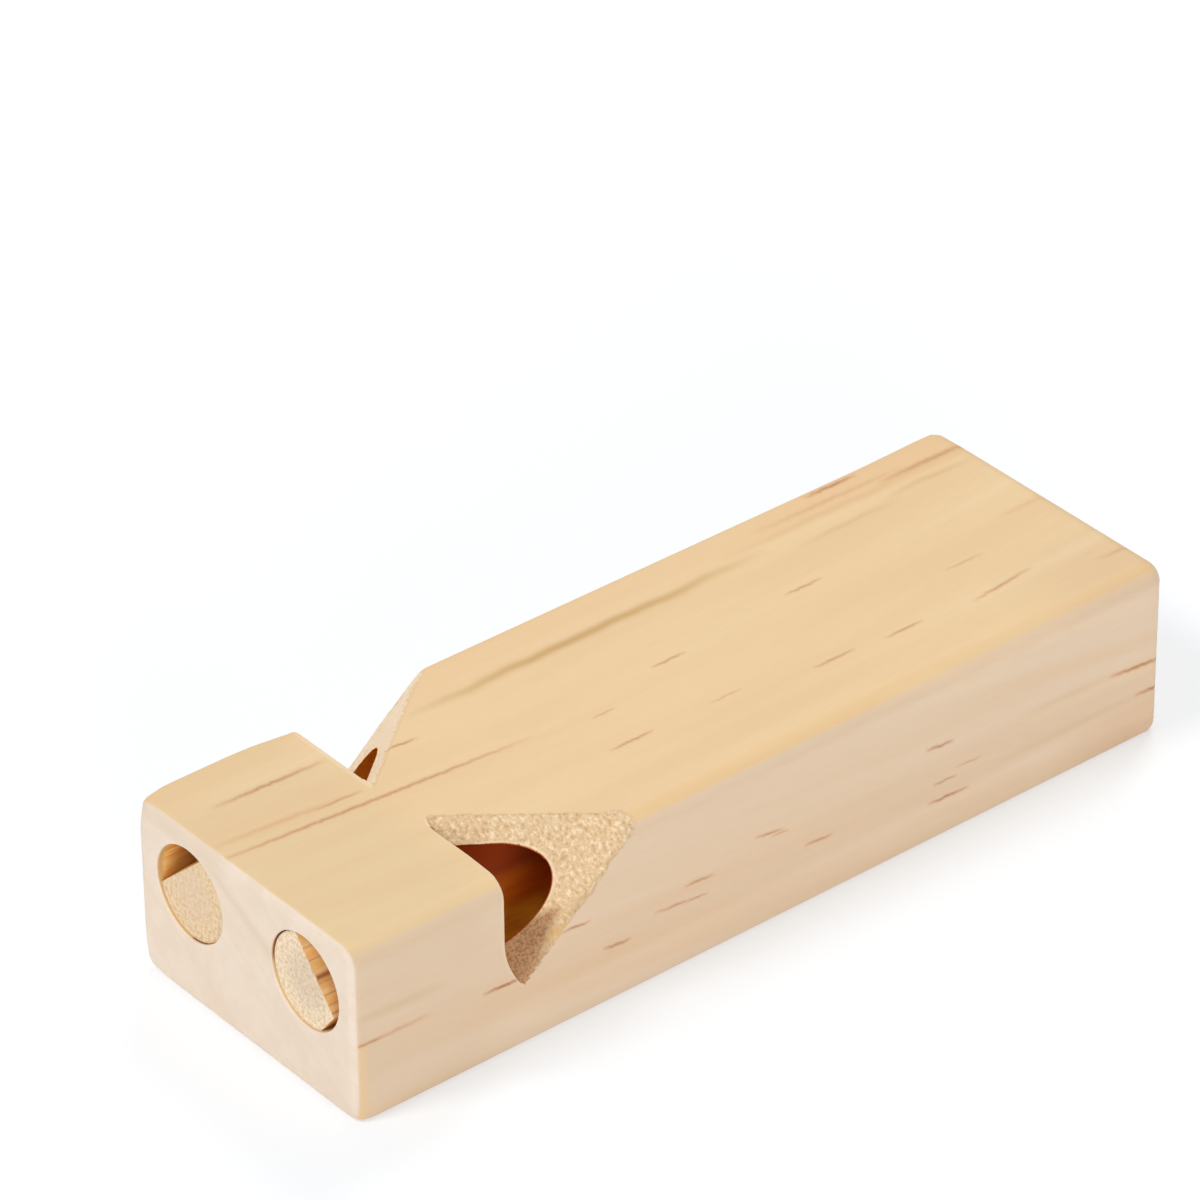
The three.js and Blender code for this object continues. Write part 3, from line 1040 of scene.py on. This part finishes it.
def dowel_finish(side):
    """End grain on the plug's face and long grain on its flat."""
    finish = wood_finish(("left" if side == LEFT else "right") + "_dowel_wood")
    x, y, z = finish.millimetres()
    end_place = finish.point(0.0, y, z)
    in_y, in_z = off_axis(finish, side, y, z)
    wood = FACE_WOOD[side]

    # The face: pale, with speckled pores in soft rings
    ring_reach = finish.length(finish.minus(in_y, 9.0), finish.plus(in_z, 6.0))
    rings = finish.slope(finish.math("SINE", finish.times(ring_reach, 5.2)), -0.4, 0.9, 0.3, 1.0)
    speck = finish.grain(end_place, 2.5, 3.0, 0.6)
    end_wood = finish.blend(finish.slope(speck, 0.40, 0.64), shade(*wood["pale"]), shade(*wood["speck"]))
    centre = finish.slope(finish.length(in_y, in_z), 4.0, 1.5)
    pores = finish.slope(finish.cells(end_place, 2.2), 0.42, 0.20)
    grey = finish.times(rings, pores, centre, wood["grey"])
    end_wood = finish.blend(grey, end_wood, shade(176, 166, 152))
    end_wood = finish.blend(finish.times(centre, 0.45), end_wood, shade(*wood["centre"]))

    # The flat and the round: golden, in bars along the grain
    turn = FLAT_TURN[side]
    across = finish.math("MULTIPLY_ADD", in_y, -side * sin(turn), finish.times(in_z, cos(turn)))
    waver = finish.grain(finish.point(finish.times(x, 0.25), across, 0.0), 0.9, 2.0, 0.5)
    across = finish.math("MULTIPLY_ADD", waver, 0.3, finish.minus(across, 0.15))
    flat_wood = finish.blend(finish.slope(waver, 0.35, 0.65), shade(238, 198, 138), shade(226, 178, 112))
    flat_wood = finish.blend(bars(finish, FLAT_GOLD_BARS, across), flat_wood, shade(244, 176, 84))
    flat_wood = finish.blend(bars(finish, FLAT_DARK_BARS, across), flat_wood, shade(152, 74, 12))

    ragged = finish.math("MULTIPLY_ADD", finish.grain(end_place, 3.0), 0.25, x)
    border = (MOUTH_X + PLUG_RECESS) / MM + wood["depth"]
    face = finish.slope(ragged, border + 0.12, border)
    colour = finish.blend(face, flat_wood, end_wood)
    height = finish.math("MULTIPLY_ADD", speck, 2.0, waver)
    return dress(finish, colour, finish.math("MULTIPLY_ADD", face, 0.1, 0.65), height)


# The table and the light. The table lies just under the part. What the camera sees of it and of the room
# is set apart from the light that they give
TABLE_SIZE = 3
TABLE_GAP = 0.01 * MM
TABLE_IN_LIGHT = (0.9, 0.9, 0.9, 1)
TABLE_SEEN = (0.565, 0.585, 0.61, 1)
TABLE_GLOW = 0.47
ROOM_LIGHT = 0.45
ROOM_SEEN = 1.0

# Each lamp: the way to it, its width in metres and its power in watts
LAMP_DISTANCE = 1.6
LAMPS = {
    "front_softbox": ((-0.62, 0.12, 0.78), 0.45, 8.9),
    "side_softbox": ((-0.42, -0.87, 0.25), 0.7, 7.9),
    "back_softbox": ((0.50, 0.36, 0.79), 0.6, 5.7),
}


def seen_share(finish):
    """1 for what is looked at, straight on or in a gloss, and 0 for the light that lands on things."""
    path = finish.add("ShaderNodeLightPath", {}).outputs
    rays = [path["Is Camera Ray"], path["Is Glossy Ray"], path["Is Transmission Ray"]]
    return finish.greatest(rays)


def table():
    bpy.ops.mesh.primitive_plane_add(size=TABLE_SIZE, location=(0, 0, -TABLE_GAP))
    top = bpy.context.object
    top.name = "table"
    finish = wood_finish("white_table")
    shader = finish.shader
    shader.inputs["Roughness"].default_value = 1.0
    shader.inputs["Specular IOR Level"].default_value = 0
    shader.inputs["Emission Color"].default_value = (1, 1, 1, 1)
    seen = seen_share(finish)
    colour = finish.blend(seen, TABLE_IN_LIGHT, TABLE_SEEN)
    finish.tree.links.new(colour, shader.inputs["Base Color"])
    finish.tree.links.new(finish.times(seen, TABLE_GLOW), shader.inputs["Emission Strength"])
    top.data.materials.append(finish.material)


def softbox(name, way, size, power):
    way = Vector(way).normalized()
    bpy.ops.object.light_add(type="AREA", location=way * LAMP_DISTANCE)
    lamp = bpy.context.object
    lamp.name = name
    lamp.data.shape = "DISK"
    lamp.data.size = size
    lamp.data.energy = power
    lamp.rotation_euler = way.to_track_quat("Z", "Y").to_euler()


def daylight():
    world = bpy.data.worlds.new("white_room")
    bpy.context.scene.world = world
    world.use_nodes = True
    finish = Finish(world.node_tree)
    sky = world.node_tree.nodes["Background"]
    sky.inputs["Color"].default_value = (1, 1, 1, 1)
    strength = finish.math("MULTIPLY_ADD", seen_share(finish), ROOM_SEEN - ROOM_LIGHT, ROOM_LIGHT)
    world.node_tree.links.new(strength, sky.inputs["Strength"])
    for name, (way, size, power) in LAMPS.items():
        softbox(name, way, size, power)


# The camera, at the photograph's viewing angle
CAMERA_PLACE = (-0.343931, -0.414117, 0.383632)
CAMERA_TURN = radians(-39.101)
CAMERA_RISE = radians(33.48)
CAMERA_ROLL = radians(-0.55)
SENSOR_WIDTH = 36
FOCAL_LENGTH = 209.72
CLIP_START = 0.01


def camera():
    sideways = cos(CAMERA_RISE)
    back = Vector((sin(CAMERA_TURN) * sideways, -cos(CAMERA_TURN) * sideways, sin(CAMERA_RISE)))
    level = Vector((0, 0, 1)).cross(back).normalized()
    upward = back.cross(level)
    right = level * cos(CAMERA_ROLL) + upward * sin(CAMERA_ROLL)
    up = upward * cos(CAMERA_ROLL) - level * sin(CAMERA_ROLL)
    bpy.ops.object.camera_add(location=CAMERA_PLACE)
    eye = bpy.context.object
    eye.name = "camera"
    eye.rotation_euler = Matrix((right, up, back)).transposed().to_euler()
    eye.data.sensor_width = SENSOR_WIDTH
    eye.data.lens = FOCAL_LENGTH
    eye.data.clip_start = CLIP_START
    bpy.context.scene.camera = eye


camera()
daylight()
table()

body = whistle_body()
body.data.materials.append(pine_finish())
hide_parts("whistle_body")
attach(body, "root")

for side, name, node in (
    (LEFT, "left_plug", "left_fipple_plug"),
    (RIGHT, "right_plug", "right_fipple_plug"),
):
    plug = dowel_plug(side, name)
    plug.data.materials.append(dowel_finish(side))
    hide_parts(node)
    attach(plug, "root")

bpy.context.scene.view_settings.view_transform = "Standard"
